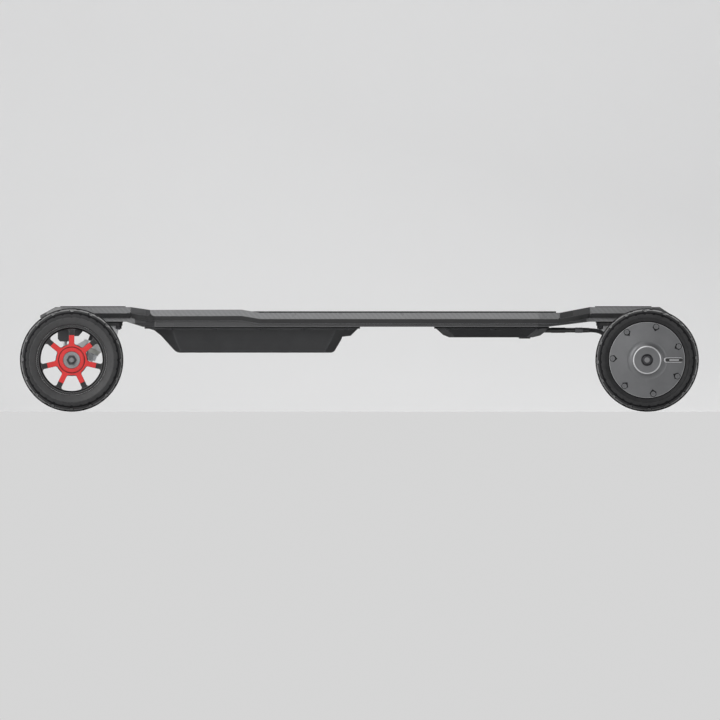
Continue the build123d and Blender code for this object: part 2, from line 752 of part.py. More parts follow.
# ---------------------------------------------------------------- motor leads
PLUG_PROFILE = [
    (288, 0), (288, 3.9), (304, 3.9), (306, 4.3), (327, 4.3), (328, 3.7), (343, 3.7), (344, 4.3),
    (354, 4.3), (356, 3.9), (366, 3.6), (366, 0),
]

with BuildPart() as motor_plugs:
    for side in (-1, 1):
        with BuildSketch(Plane(origin=(0, side * PLUG_Y, PLUG_Z), x_dir=(1, 0, 0), z_dir=(0, -1, 0))):
            Polygon(*PLUG_PROFILE)
        revolve(axis=Axis((0, side * PLUG_Y, PLUG_Z), (1, 0, 0)))
save(motor_plugs, "motor_plugs")


def bend_radii(points):
    """The largest arc that each corner's two runs leave room for."""
    radii = []
    for before, corner, after in zip(points, points[1:], points[2:]):
        first = Vector(*corner) - Vector(*before)
        second = Vector(*after) - Vector(*corner)
        turn = radians(first.get_angle(second))
        radii.append(0.45 * min(first.length, second.length) / tan(turn / 2))
    return radii


lead_radii = bend_radii(lead_route)
print("motor lead bends:", [round(radius, 1) for radius in lead_radii])

with BuildPart() as right_motor_lead:
    with BuildLine() as route:
        FilletPolyline(*lead_route, radius=lead_radii)
    with BuildSketch(Plane(origin=route.line @ 0, z_dir=route.line % 0)):
        Circle(LEAD_R)
    sweep()
lead_length = route.wires()[0].length
print("motor lead length:", round(lead_length, 1))
print("motor lead volume over section x length:",
      round(right_motor_lead.part.volume / (pi * LEAD_R**2 * lead_length), 4))
save(right_motor_lead, "right_motor_lead")

with BuildPart() as left_motor_lead:
    mirror(right_motor_lead.part, about=Plane.XZ)
save(left_motor_lead, "left_motor_lead")


# ---------------------------------------------------------------- wheels
front_face = front_side.offset(WHEEL_Y)
rear_face = rear_side.offset(WHEEL_Y)
front_section = Plane(origin=(-AXLE_X, -WHEEL_Y, AXLE_Z), x_dir=(0, 0, 1), z_dir=(1, 0, 0))
rear_section = Plane(origin=(AXLE_X, -WHEEL_Y, AXLE_Z), x_dir=(0, 0, 1), z_dir=(1, 0, 0))

SIDEWALL = [(66, 27.2), (70, TYRE_HALF), (75.5, 26.4), (79.6, 22), (81.8, 12), (TYRE_R, 0)]
FRONT_BEAD = [(RIM_R, 21.2), (58, 23.8)]
REAR_BEAD = [(RIM_R, 21.6), (60.6, 21.6), (61, 25.4)]


def tyre(section, face, line, outer_bead, tread_angle):
    """A tyre with notched crown and shoulders; distances are outward from its mid-plane."""
    outer = outer_bead + SIDEWALL
    inner = [(r, -w) for r, w in reversed(FRONT_BEAD + SIDEWALL[:-1])]
    with BuildPart() as body:
        with BuildSketch(section):
            Polygon(*(outer + inner))
        revolve(axis=line)
        for start in (15, -30):
            with BuildSketch(face.offset(start)):
                with PolarLocations(80.5, CROWN_NOTCHES, start_angle=tread_angle):
                    Rectangle(8, 5)
            extrude(amount=15, mode=Mode.SUBTRACT)
        for start in (25, -30):
            with BuildSketch(face.offset(start)):
                with PolarLocations(71, 2 * CROWN_NOTCHES, start_angle=tread_angle):
                    Rectangle(6, 2)
            extrude(amount=5, mode=Mode.SUBTRACT)
    return body


save_left_then_right(
    tyre(front_section, front_face, front_axle_line, FRONT_BEAD, FRONT_TREAD_ANGLE), ("front", "tyre")
)
save_left_then_right(
    tyre(rear_section, rear_face, rear_axle_line, REAR_BEAD, REAR_TREAD_ANGLE), ("rear", "tyre")
)

RIM_PROFILE = [
    (9, -23.5), (HUB_R, -23.5), (HUB_R, 4), (WINDOW_R, 6), (WINDOW_R, -21), (RIM_R, -21), (RIM_R, 21.2),
    (WINDOW_R + 3, 21.2), (WINDOW_R, 16.5), (9, 16.5),
]

with BuildPart() as front_rim:
    with BuildSketch(front_section):
        Polygon(*RIM_PROFILE)
    revolve(axis=front_axle_line)
    with BuildSketch(front_face) as windows:
        Circle(WINDOW_R)
        Circle(HUB_R + 1.2, mode=Mode.SUBTRACT)
        with PolarLocations(WINDOW_R / 2, SPOKES, start_angle=90):
            Rectangle(WINDOW_R + 4, SPOKE_WIDTH, mode=Mode.SUBTRACT)
        fillet(windows.vertices(), 3.5)
    extrude(amount=20, mode=Mode.SUBTRACT)
    for start in (9.5, -23.5):
        with BuildSketch(front_face.offset(start)):
            Circle(BEARING_R)
        extrude(amount=7, mode=Mode.SUBTRACT)
save_left_then_right(front_rim, ("front", "rim"))

with BuildPart() as front_bearings:
    for start in (9.5, -23.5):
        with BuildSketch(front_face.offset(start)):
            Circle(BEARING_R - 0.02)
            Circle(AXLE_R + 0.03, mode=Mode.SUBTRACT)
        extrude(amount=7)
save_left_then_right(front_bearings, ("front", "bearings"))

STAR_BASE = 16.5
STAR_THICK = 3.0
GROOVE_R = 20.0

with BuildPart() as spoke_star:
    with BuildSketch(front_face.offset(STAR_BASE)) as star:
        Circle(HUB_R)
        with PolarLocations(STAR_R / 2, SPOKES, start_angle=90):
            Rectangle(STAR_R, SPOKE_WIDTH - 0.4)
        fillet(star.vertices().filter_by(lambda corner: Vector(corner).length < STAR_R - 5), 4)
        Circle(13.8, mode=Mode.SUBTRACT)
    extrude(amount=STAR_THICK)
    with BuildSketch(front_face.offset(STAR_BASE + STAR_THICK)):
        Circle(GROOVE_R - 0.5)
        Circle(13.8, mode=Mode.SUBTRACT)
    extrude(amount=1)
    with BuildSketch(front_face.offset(STAR_BASE + STAR_THICK)):
        Circle(GROOVE_R + 0.5)
        Circle(GROOVE_R - 0.5, mode=Mode.SUBTRACT)
    extrude(amount=-1, mode=Mode.SUBTRACT)
save_left_then_right(spoke_star, ("front", "spoke_star"))

ROTOR_PROFILE = [
    (MOTOR_BEARING_R, -24), (RIM_R - 0.2, -24), (RIM_R - 0.2, 21.8), (60.2, 21.8), (60.2, 23.8),
    (49, 23.8), (49, -20), (18, -20), (18, -15), (MOTOR_BEARING_R, -15),
]

with BuildPart() as motor_rotor:
    with BuildSketch(rear_section):
        Polygon(*ROTOR_PROFILE)
    revolve(axis=rear_axle_line)
    with BuildSketch(rear_face.offset(22)):
        with PolarLocations(COVER_SCREW_R, SPOKES, start_angle=COVER_SCREW_ANGLE):
            Circle(2.05)
    extrude(amount=5, mode=Mode.SUBTRACT)
save_left_then_right(motor_rotor, ("rear", "motor_rotor"))

with BuildPart() as motor_magnets:
    with BuildSketch(rear_face.offset(-13)):
        Circle(48.95)
        Circle(46.7, mode=Mode.SUBTRACT)
        with PolarLocations(48, MAGNETS):
            Rectangle(6, 1.5, mode=Mode.SUBTRACT)
    extrude(amount=26)
save_left_then_right(motor_magnets, ("rear", "motor_magnets"))

COVER_BACK = 23.8
POCKET_FLOOR = 24.8
COVER_EDGE = 26.6
CONE_R = 31.7
CONE_TOP = 29.0
BOSS_R = 22.2
BOSS_TOP = 34.4
cone_slope = (CONE_TOP - COVER_EDGE) / (COVER_R - CONE_R)
BADGE_R = 41.8
badge_plane = Plane(
    origin=(AXLE_X + BADGE_R, -WHEEL_Y - COVER_EDGE - (COVER_R - BADGE_R) * cone_slope, AXLE_Z),
    x_dir=(1, cone_slope, 0),
    z_dir=(cone_slope, -1, 0),
)

with BuildPart() as motor_cover:
    with BuildSketch(rear_section):
        with BuildLine():
            Polyline(
                (CONE_R, CONE_TOP), (COVER_R, COVER_EDGE), (COVER_R, COVER_BACK), (18, COVER_BACK), (18, 19),
                (MOTOR_BEARING_R, 19), (MOTOR_BEARING_R, 27), (9.6, 27), (9.6, BOSS_TOP),
                (BOSS_R - 1, BOSS_TOP), (BOSS_R, BOSS_TOP - 1),
            )
            ThreePointArc((BOSS_R, BOSS_TOP - 1), (25, 30.3), (CONE_R, CONE_TOP))
        make_face()
    revolve(axis=rear_axle_line)
    with BuildSketch(rear_face.offset(POCKET_FLOOR)):
        with PolarLocations(COVER_SCREW_R, SPOKES, start_angle=COVER_SCREW_ANGLE):
            Circle(4.8)
        with PolarLocations(COVER_SCREW_R - 2, SPOKES, start_angle=COVER_SCREW_ANGLE):
            Rectangle(8.2, 8.2, rotation=45)
    extrude(amount=6, mode=Mode.SUBTRACT)
    with BuildSketch(rear_face.offset(20)):
        with PolarLocations(COVER_SCREW_R, SPOKES, start_angle=COVER_SCREW_ANGLE):
            Circle(2.05)
    extrude(amount=10, mode=Mode.SUBTRACT)
    with BuildSketch(badge_plane.offset(-0.4)):
        SlotOverall(30.6, 8.2)
    extrude(amount=6, mode=Mode.SUBTRACT)
save_left_then_right(motor_cover, ("rear", "motor_cover"))

with BuildPart() as cover_badge:
    with BuildSketch(badge_plane.offset(-0.4)):
        SlotOverall(30.4, 8)
    extrude(amount=1)
save_left_then_right(cover_badge, ("rear", "cover_badge"))

with BuildPart() as cover_screws:
    with BuildSketch(rear_face.offset(22.2)):
        with PolarLocations(COVER_SCREW_R, SPOKES, start_angle=COVER_SCREW_ANGLE):
            Circle(2)
    extrude(amount=POCKET_FLOOR - 22.2)
    with BuildSketch(rear_face.offset(POCKET_FLOOR)):
        with PolarLocations(COVER_SCREW_R, SPOKES, start_angle=COVER_SCREW_ANGLE):
            Circle(3.9)
    extrude(amount=2.4)
    with BuildSketch(rear_face.offset(26.4)):
        with PolarLocations(COVER_SCREW_R, SPOKES, start_angle=COVER_SCREW_ANGLE):
            RegularPolygon(1.5, 6)
    extrude(amount=3, mode=Mode.SUBTRACT)
save_left_then_right(cover_screws, ("rear", "cover_screws"))

with BuildPart() as motor_bearings:
    for start in (19.5, -24):
        with BuildSketch(rear_face.offset(start)):
            Circle(MOTOR_BEARING_R - 0.02)
            Circle(MOTOR_AXLE_R + 0.03, mode=Mode.SUBTRACT)
        extrude(amount=7)
save_left_then_right(motor_bearings, ("rear", "motor_bearings"))


# ---------------------------------------------------------------- motor stators
STATOR_R = 45.8

with BuildPart() as motor_stators:
    with BuildSketch(rear_face.offset(-13)):
        Circle(STATOR_R)
        Circle(MOTOR_AXLE_R + 0.02, mode=Mode.SUBTRACT)
        with PolarLocations(37, STATOR_TEETH):
            Rectangle(13, 4.4, mode=Mode.SUBTRACT)
        with PolarLocations(STATOR_R, STATOR_TEETH):
            Rectangle(8, 1.6, mode=Mode.SUBTRACT)
    extrude(amount=26)
    mirror(about=Plane.XZ)
save(motor_stators, "motor_stators")

with BuildPart() as motor_windings:
    with BuildSketch(rear_face.offset(-14.5)):
        with PolarLocations(37, STATOR_TEETH):
            RectangleRounded(12.4, 3.8, 1)
    extrude(amount=29)
    mirror(about=Plane.XZ)
save(motor_windings, "motor_windings")
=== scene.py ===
"""Electric skateboard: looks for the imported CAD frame. Metres; +X nose to tail, +Z up."""
import json
import math

import bmesh
import bpy
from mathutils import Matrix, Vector


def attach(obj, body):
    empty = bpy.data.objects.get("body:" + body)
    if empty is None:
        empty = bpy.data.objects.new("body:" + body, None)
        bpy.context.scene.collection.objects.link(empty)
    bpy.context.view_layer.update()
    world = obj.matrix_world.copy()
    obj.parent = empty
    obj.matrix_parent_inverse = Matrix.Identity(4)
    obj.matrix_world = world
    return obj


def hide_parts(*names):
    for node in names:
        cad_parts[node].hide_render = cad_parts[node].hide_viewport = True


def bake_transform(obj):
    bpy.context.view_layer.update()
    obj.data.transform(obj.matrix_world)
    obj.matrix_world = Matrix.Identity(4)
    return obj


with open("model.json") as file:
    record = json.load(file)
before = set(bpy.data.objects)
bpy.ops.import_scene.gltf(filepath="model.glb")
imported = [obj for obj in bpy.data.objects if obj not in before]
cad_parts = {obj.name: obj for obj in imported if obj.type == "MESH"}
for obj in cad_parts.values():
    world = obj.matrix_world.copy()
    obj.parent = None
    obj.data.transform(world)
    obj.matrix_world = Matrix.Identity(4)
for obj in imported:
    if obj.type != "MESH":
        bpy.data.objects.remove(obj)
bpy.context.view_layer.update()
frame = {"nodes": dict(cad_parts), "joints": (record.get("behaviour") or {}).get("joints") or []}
nodes = frame["nodes"]
scene = bpy.context.scene


# ---------------------------------------------------------------- places read from the frame
def joint(name):
    return next(j for j in frame["joints"] if j["name"] == name)


ENDS = {"front": -1, "rear": 1}
SIDES = {"left": -1, "right": 1}
HUBS = {
    (end, side): Vector(joint(f"{end}_{side}_wheel_spin")["pos_m"]) for end in ENDS for side in SIDES
}
BADGE_REACH = 0.043    # from the hub to the middle of the badge


# ---------------------------------------------------------------- material helpers
LATHE_RINGS = 2600.0    # noise scale, per metre


class Surface:
    """A Principled material whose colour, roughness and bump come from a few chained nodes."""

    def __init__(self, name, metallic=0.0, coat=0.0, coat_rough=0.1, specular=0.5, sheen=0.0):
        self.material = bpy.data.materials.new(name)
        self.material.use_nodes = True
        self.tree = self.material.node_tree
        self.shader = self.tree.nodes["Principled BSDF"]
        self.set("Metallic", metallic)
        self.set("Coat Weight", coat)
        self.set("Coat Roughness", coat_rough)
        self.set("Specular IOR Level", specular)
        self.set("Sheen Weight", sheen)
        self.place = self.node("ShaderNodeTexCoord").outputs["Object"]

    def set(self, socket, value):
        self.shader.inputs[socket].default_value = value

    def node(self, kind, **settings):
        made = self.tree.nodes.new(kind)
        for key, value in settings.items():
            setattr(made, key, value)
        return made

    def link(self, source, target):
        self.tree.links.new(source, target)

    def math(self, operation, *values):
        made = self.node("ShaderNodeMath", operation=operation)
        for slot, value in zip(made.inputs, values):
            if isinstance(value, (int, float)):
                slot.default_value = value
            else:
                self.link(value, slot)
        return made.outputs[0]

    def noise(self, scale, detail=4.0, rough=0.55):
        made = self.node("ShaderNodeTexNoise")
        made.inputs["Scale"].default_value = scale
        made.inputs["Detail"].default_value = detail
        made.inputs["Roughness"].default_value = rough
        self.link(self.place, made.inputs["Vector"])
        return made.outputs["Fac"]

    def cells(self, scale, feature="F1"):
        made = self.node("ShaderNodeTexVoronoi", feature=feature)
        made.inputs["Scale"].default_value = scale
        self.link(self.place, made.inputs["Vector"])
        return made.outputs["Distance"]

    def rings(self, radius):
        """Fine lathe rings at this distance from a hub."""
        made = self.node("ShaderNodeTexNoise", noise_dimensions="1D")
        made.inputs["Scale"].default_value = LATHE_RINGS
        self.link(radius, made.inputs["W"])
        return made.outputs["Fac"]

    def ramp(self, value, *stops):
        """Stops are (position, number) or (position, (r, g, b))."""
        made = self.node("ShaderNodeValToRGB")
        self.link(value, made.inputs["Fac"])
        points = made.color_ramp.elements
        while len(points) < len(stops):
            points.new(0.5)
        for point, (position, tone) in zip(points, stops):
            point.position = position
            point.color = (tone, tone, tone, 1) if isinstance(tone, (int, float)) else (*tone, 1)
        return made.outputs["Color"]

    def mix(self, factor, first, second):
        made = self.node("ShaderNodeMix", data_type="RGBA")
        for slot, value in zip((made.inputs[0], made.inputs[6], made.inputs[7]), (factor, first, second)):
            if isinstance(value, (int, float)):
                slot.default_value = value if slot == made.inputs[0] else (value, value, value, 1)
            elif isinstance(value, tuple):
                slot.default_value = (*value, 1)
            else:
                self.link(value, slot)
        return made.outputs[2]

    def colour(self, source):
        self.link(source, self.shader.inputs["Base Color"])
        return self

    def roughness(self, source):
        self.link(source, self.shader.inputs["Roughness"])
        return self

    def bump(self, height, depth, strength=1.0, soften=0.0):
        """Bump of this depth in metres, on edges rounded by the soften radius."""
        made = self.node("ShaderNodeBump")
        made.inputs["Distance"].default_value = depth
        made.inputs["Strength"].default_value = strength
        self.link(height, made.inputs["Height"])
        if soften:
            edge = self.node("ShaderNodeBevel", samples=6)
            edge.inputs["Radius"].default_value = soften
            self.link(edge.outputs[0], made.inputs["Normal"])
        self.link(made.outputs[0], self.shader.inputs["Normal"])
        return self

    def along(self, axis):
        made = self.node("ShaderNodeSeparateXYZ")
        self.link(self.place, made.inputs[0])
        return made.outputs[axis]

    def facing(self, axis):
        """How squarely the surface faces along an axis, -1 to 1."""
        made = self.node("ShaderNodeSeparateXYZ")
        self.link(self.node("ShaderNodeNewGeometry").outputs["True Normal"], made.inputs[0])
        return made.outputs[axis]

    def between(self, value, low, high):
        """1 where the value lies between two limits, else 0."""
        above = self.math("GREATER_THAN", value, low)
        return self.math("MULTIPLY", above, self.math("LESS_THAN", value, high))

    def edge(self, reach):
        """1 on rounded edges, within about this reach of them, and 0 on open faces."""
        rounded = self.node("ShaderNodeBevel", samples=6)
        rounded.inputs["Radius"].default_value = reach
        flat = self.node("ShaderNodeNewGeometry").outputs["Normal"]
        compare = self.node("ShaderNodeVectorMath", operation="DOT_PRODUCT")
        self.link(rounded.outputs[0], compare.inputs[0])
        self.link(flat, compare.inputs[1])
        return self.ramp(compare.outputs["Value"], (0.93, 1.0), (0.99, 0.0))

    def radius(self, x, z):
        """Distance from a line along Y through x and z."""
        dx = self.math("SUBTRACT", self.along("X"), x)
        dz = self.math("SUBTRACT", self.along("Z"), z)
        return self.length(dx, dz)

    def length(self, a, b):
        """Length of the line whose two sides are a and b."""
        squares = self.math("ADD", self.math("MULTIPLY", a, a), self.math("MULTIPLY", b, b))
        return self.math("SQRT", squares)


def painted(name, dark, light, rough, metallic=0.0, coat=0.0, soften=0.0006):
    """Paint, plastic or metal with fine grain, slow tone drift and uneven roughness."""
    s = Surface(name, metallic=metallic, coat=coat)
    s.colour(s.ramp(s.noise(35.0, 6.0), (0.3, dark), (0.7, light)))
    s.roughness(s.ramp(s.noise(160.0, 5.0), (0.3, rough - 0.08), (0.7, rough + 0.08)))
    s.bump(s.noise(900.0, 3.0), 0.00004, soften=soften)
    return s.material


# ---------------------------------------------------------------- materials
TOWS = 500.0               # tows of carbon to a metre
FLAT = 0.6                 # upward part of the normal above which a face counts as level
BELLY_TOP = 0.1415         # below this height the deck's side is dark, a painted shade
BELLY_LENGTH = 0.34        # half the length and half the width of the part that is dark all over, a painted shade
BELLY_WIDTH = 0.117
SIDE_FACE = 0.88           # sideways part of the normal above which a face counts as the rail and gets the pale painted reflection
BLACK_LACQUER = (0.022, 0.022, 0.023)


def carbon():
    """Clear-coated twill carbon fibre on the rails, pale there with a painted reflection, and black lacquer on
    the top and belly, with painted shade on downward faces and the low band and a painted highlight on the
    belly's edges.
    """
    s = Surface("carbon_deck", coat=0.5, coat_rough=0.2)
    level = s.math("GREATER_THAN", s.math("ABSOLUTE", s.facing("Z")), FLAT)
    across = s.mix(level, s.along("Z"), s.along("Y"))
    u = s.math("MULTIPLY", s.along("X"), TOWS)
    v = s.math("MULTIPLY", across, TOWS)
    steps = s.math("ADD", s.math("FLOOR", u), s.math("FLOOR", v))
    over = s.math("LESS_THAN", s.math("FRACT", s.math("MULTIPLY", steps, 0.25)), 0.45)
    strand = s.mix(over, s.math("FRACT", u), s.math("FRACT", v))
    crown = s.math("PINGPONG", strand, 0.5)
    # the weave's two tones follow a real twill pattern, and their contrast is a painted glint of the tows
    weave = s.mix(over, (0.205, 0.206, 0.210), (0.235, 0.236, 0.240))
    drift = s.ramp(s.noise(9.0, 5.0), (0.3, 0.88), (0.7, 1.0))
    tinted = s.node("ShaderNodeMix", data_type="RGBA", blend_type="MULTIPLY")
    tinted.inputs[0].default_value = 1.0
    s.link(weave, tinted.inputs[6])
    s.link(drift, tinted.inputs[7])
    inboard = s.math("MULTIPLY", s.math("LESS_THAN", s.math("ABSOLUTE", s.along("X")), BELLY_LENGTH),
                     s.math("LESS_THAN", s.math("ABSOLUTE", s.along("Y")), BELLY_WIDTH))
    # painted shade: the low band, the inboard underside and every downward face take dark colours in place of
    # the rail's pale one
    low = s.math("MAXIMUM", s.math("LESS_THAN", s.along("Z"), BELLY_TOP), inboard)
    below = s.math("MAXIMUM", s.math("LESS_THAN", s.facing("Z"), -FLAT / 2), low)
    above = s.math("GREATER_THAN", s.facing("Z"), FLAT)
    hem = s.math("MULTIPLY", low, s.math("GREATER_THAN", s.facing("Z"), -FLAT / 2))
    belly = s.mix(hem, BLACK_LACQUER, (0.042, 0.042, 0.044))
    # painted highlight: pale grey on the belly's rounded edges
    belly = s.mix(s.edge(0.0022), belly, (0.150, 0.151, 0.155))
    # painted reflection: faces squarely facing sideways get the pale weave colour; painted shade: slanted faces
    # get a darker grey
    slanted = s.math("LESS_THAN", s.math("ABSOLUTE", s.facing("Y")), SIDE_FACE)
    rail = s.mix(slanted, tinted.outputs[2], (0.060, 0.060, 0.062))
    s.colour(s.mix(above, s.mix(below, rail, belly), BLACK_LACQUER))
    s.roughness(s.mix(below, s.ramp(s.noise(45.0, 6.0), (0.3, 0.26), (0.7, 0.36)), 0.62))
    s.bump(crown, 0.00002, 0.25, soften=0.0012)
    return s.material


def grip():
    """Black grit: sharp grains under a millimetre, scuffed paler where feet stand."""
    s = Surface("grip", specular=0.35, sheen=0.15)
    grain = s.cells(1500.0)
    scuff = s.ramp(s.noise(14.0, 8.0, 0.65), (0.45, 0.0), (0.75, 1.0))
    sharp = s.ramp(grain, (0.1, (0.055, 0.055, 0.057)), (0.5, (0.008, 0.008, 0.009)))
    worn = s.mix(scuff, (0.010, 0.010, 0.011), (0.030, 0.030, 0.031))
    s.colour(s.mix(0.45, worn, sharp))
    s.roughness(s.ramp(grain, (0.0, 0.62), (0.6, 0.95)))
    s.bump(grain, 0.0005, 0.9)
    return s.material


def moulded(name, dark, light, rough, grain=1400.0, coat=0.12, soften=0.0009):
    """Injection-moulded plastic with a leathery texture and rubbed edges."""
    s = Surface(name, coat=coat, coat_rough=0.3, specular=0.3)
    leather = s.cells(grain, "SMOOTH_F1")
    rubbed = tuple(2.2 * tone for tone in light)
    wear = s.math("MULTIPLY", s.edge(1.3 * soften), s.ramp(s.noise(24.0, 4.0), (0.3, 0.45), (0.6, 1.0)))
    s.colour(s.mix(wear, s.ramp(s.noise(30.0, 7.0), (0.3, dark), (0.72, light)), rubbed))
    s.roughness(s.ramp(s.noise(70.0, 6.0), (0.3, rough - 0.06), (0.7, rough + 0.08)))
    s.bump(leather, 0.00007, 0.6, soften=soften)
    return s.material


def rubber(name, dark, light, rough=0.78, specular=0.35):
    """Moulded rubber, dustier in patches."""
    s = Surface(name, specular=specular)
    dust = s.noise(60.0, 8.0, 0.7)
    s.colour(s.ramp(dust, (0.35, dark), (0.75, light)))
    s.roughness(s.ramp(s.noise(220.0, 4.0), (0.3, rough - 0.1), (0.7, rough + 0.08)))
    s.bump(s.noise(1800.0, 4.0), 0.00008, 0.7)
    return s.material


def turned(name, hub, dark, light, rough, metallic=1.0):
    """Metal turned on a lathe: fine rings about the hub, and slow drift in tone."""
    s = Surface(name, metallic=metallic)
    rings = s.rings(s.radius(hub.x, hub.z))
    s.colour(s.ramp(s.noise(28.0, 6.0), (0.3, dark), (0.7, light)))
    s.roughness(s.ramp(rings, (0.3, rough - 0.07), (0.7, rough + 0.07)))
    s.bump(rings, 0.00002, 0.5, soften=0.0005)
    return s.material


def rim(name):
    """Black painted rim with a painted highlight on its thin edges."""
    s = Surface(name, coat=0.08, coat_rough=0.2)
    black = s.ramp(s.noise(35.0, 6.0), (0.3, (0.006, 0.006, 0.0065)), (0.7, (0.010, 0.010, 0.011)))
    # painted highlight: pale grey on the rim's thin edges
    s.colour(s.mix(s.edge(0.0016), black, (0.160, 0.160, 0.162)))
    s.roughness(s.ramp(s.noise(160.0, 5.0), (0.3, 0.33), (0.7, 0.48)))
    s.bump(s.noise(900.0, 3.0), 0.00004, soften=0.0012)
    return s.material


COVER_DARK, COVER_LIGHT = (0.150, 0.152, 0.156), (0.185, 0.187, 0.192)
CONE_PEAK, CONE_SLOPE = 0.0314, 0.08      # the cover's outer face, as height over the hub's middle and radius
POCKET_DEPTH, POCKET_START = 0.0012, 0.040    # deeper and further out than this is a screw pocket, coloured near black as painted shade
BOSS_RING, BOSS_FACE = (0.0206, 0.0226), 0.031    # the bright ring's radii, and the height that it is above; the ring is a polished chamfer and its brightness a painted highlight
COVER_LIP = 0.0597    # the cover is paler outside this radius, a painted highlight on its lip


def cover(name, hub):
    """Grey turned cover, with painted shade in its screw pockets, a machined ring made bright by a painted
    highlight, and a lip made pale by a painted highlight.
    """
    s = Surface(name, metallic=0.5)
    radius = s.radius(hub.x, hub.z)
    rings = s.rings(radius)
    height = s.math("SUBTRACT", s.math("ABSOLUTE", s.along("Y")), abs(hub.y))
    cone = s.math("SUBTRACT", CONE_PEAK, s.math("MULTIPLY", radius, CONE_SLOPE))
    # painted shade: near black on the pocket floors, below the cone's surface
    pocket = s.math("MULTIPLY", s.math("GREATER_THAN", s.math("SUBTRACT", cone, height), POCKET_DEPTH),
                    s.math("GREATER_THAN", radius, POCKET_START))
    # painted highlight: a polished chamfer ring coloured nearly white
    polished_glint = s.math("MULTIPLY", s.between(radius, *BOSS_RING), s.math("GREATER_THAN", height, BOSS_FACE))
    grey = s.ramp(s.noise(28.0, 6.0), (0.3, COVER_DARK), (0.7, COVER_LIGHT))
    # painted highlight: paler grey on the cover's lip
    grey = s.mix(s.math("GREATER_THAN", radius, COVER_LIP), grey, (0.36, 0.36, 0.365))
    s.colour(s.mix(polished_glint, s.mix(pocket, grey, (0.012, 0.012, 0.013)), (0.70, 0.70, 0.71)))
    s.roughness(s.ramp(rings, (0.3, 0.36), (0.7, 0.50)))
    s.bump(rings, 0.00002, 0.5, soften=0.0005)
    return s.material


SLOT_HALF, SLOT_R = 0.0112, 0.0029    # the badge's dark slot: half its straight part, and its end radius
BAR_HALF, BAR_RISE = 0.0075, 0.0009   # half the length and half the height of the bar on it


def badge(name, hub):
    """A dark slot-shaped plate with a bright rim and one plain bar."""
    s = Surface(name, metallic=0.8)
    along = s.math("ABSOLUTE", s.math("SUBTRACT", s.along("X"), hub.x + BADGE_REACH))
    up = s.math("ABSOLUTE", s.math("SUBTRACT", s.along("Z"), hub.z))
    past = s.math("MAXIMUM", s.math("SUBTRACT", along, SLOT_HALF), 0.0)
    border = s.math("GREATER_THAN", s.length(past, up), SLOT_R)
    bar = s.math("MULTIPLY", s.math("LESS_THAN", along, BAR_HALF), s.math("LESS_THAN", up, BAR_RISE))
    plate = s.ramp(s.noise(200.0, 4.0), (0.3, 0.05), (0.7, 0.075))
    s.colour(s.mix(s.math("MAXIMUM", border, bar), plate, (0.62, 0.62, 0.63)))
    s.roughness(s.ramp(s.noise(500.0, 4.0), (0.3, 0.3), (0.7, 0.42)))
    s.bump(s.noise(1500.0, 3.0), 0.00003, soften=0.0004)
    return s.material


STAR_GROOVE = (0.0204, 0.0214)    # radii of the groove's painted shade


def star(name, hub):
    """Red painted spokes, with painted shade in the groove round the hub."""
    s = Surface(name, metallic=0.2, coat=0.35, coat_rough=0.12)
    groove = s.between(s.radius(hub.x, hub.z), *STAR_GROOVE)
    red = s.ramp(s.noise(35.0, 6.0), (0.3, (0.60, 0.020, 0.020)), (0.7, (0.72, 0.028, 0.028)))
    # painted shade: dark red in the groove round the hub
    s.colour(s.mix(groove, red, (0.06, 0.008, 0.008)))
    s.roughness(s.ramp(s.noise(160.0, 5.0), (0.3, 0.30), (0.7, 0.44)))
    s.bump(s.noise(900.0, 3.0), 0.00004, soften=0.0008)
    return s.material


def cast(name, dark, light, rough):
    """Bead-blasted cast aluminium."""
    s = Surface(name, metallic=0.35)
    s.colour(s.ramp(s.noise(50.0, 8.0, 0.65), (0.3, dark), (0.7, light)))
    s.roughness(s.ramp(s.noise(300.0, 4.0), (0.3, rough - 0.06), (0.7, rough + 0.08)))
    s.bump(s.noise(1600.0, 5.0, 0.7), 0.00012, 0.8, soften=0.0010)
    return s.material


def braided():
    """Woven sleeve on the motor leads."""
    s = Surface("lead_sleeve", specular=0.4, sheen=0.2)
    weave = s.cells(1100.0)
    s.colour(s.ramp(weave, (0.1, (0.045, 0.045, 0.048)), (0.55, (0.010, 0.010, 0.011))))
    s.roughness(s.ramp(weave, (0.0, 0.45), (0.6, 0.8)))
    s.bump(weave, 0.0002, 0.8)
    return s.material


COUPLING = (0.3435, 0.3560)    # where the plugs' paler ring starts and ends, along X


def plugs():
    """Moulded plug halves with a paler coupling ring at the tail end."""
    s = Surface("plug", coat=0.2)
    ring = s.between(s.along("X"), *COUPLING)
    s.colour(s.mix(ring, s.ramp(s.noise(80.0, 5.0), (0.3, 0.02), (0.7, 0.032)), (0.12, 0.12, 0.125)))
    s.roughness(s.ramp(s.noise(400.0, 4.0), (0.3, 0.35), (0.7, 0.5)))
    s.bump(s.noise(1200.0, 3.0), 0.00005, soften=0.0006)
    return s.material


def board():
    """Solder mask with fine tracks and pads."""
    s = Surface("circuit_board", coat=0.3)
    tracks = s.node("ShaderNodeTexBrick")
    tracks.inputs["Scale"].default_value = 220.0
    tracks.inputs["Mortar Size"].default_value = 0.03
    tracks.inputs["Color1"].default_value = (0.01, 0.06, 0.025, 1)
    tracks.inputs["Color2"].default_value = (0.012, 0.08, 0.03, 1)
    tracks.inputs["Mortar"].default_value = (0.03, 0.16, 0.06, 1)
    s.link(s.place, tracks.inputs["Vector"])
    s.colour(tracks.outputs["Color"])
    s.roughness(s.ramp(s.noise(300.0), (0.3, 0.3), (0.7, 0.5)))
    s.bump(tracks.outputs["Fac"], 0.00004)
    return s.material


def steel(name, dark, light, rough, metallic):
    return painted(name, dark, light, rough, metallic, soften=0.0004)


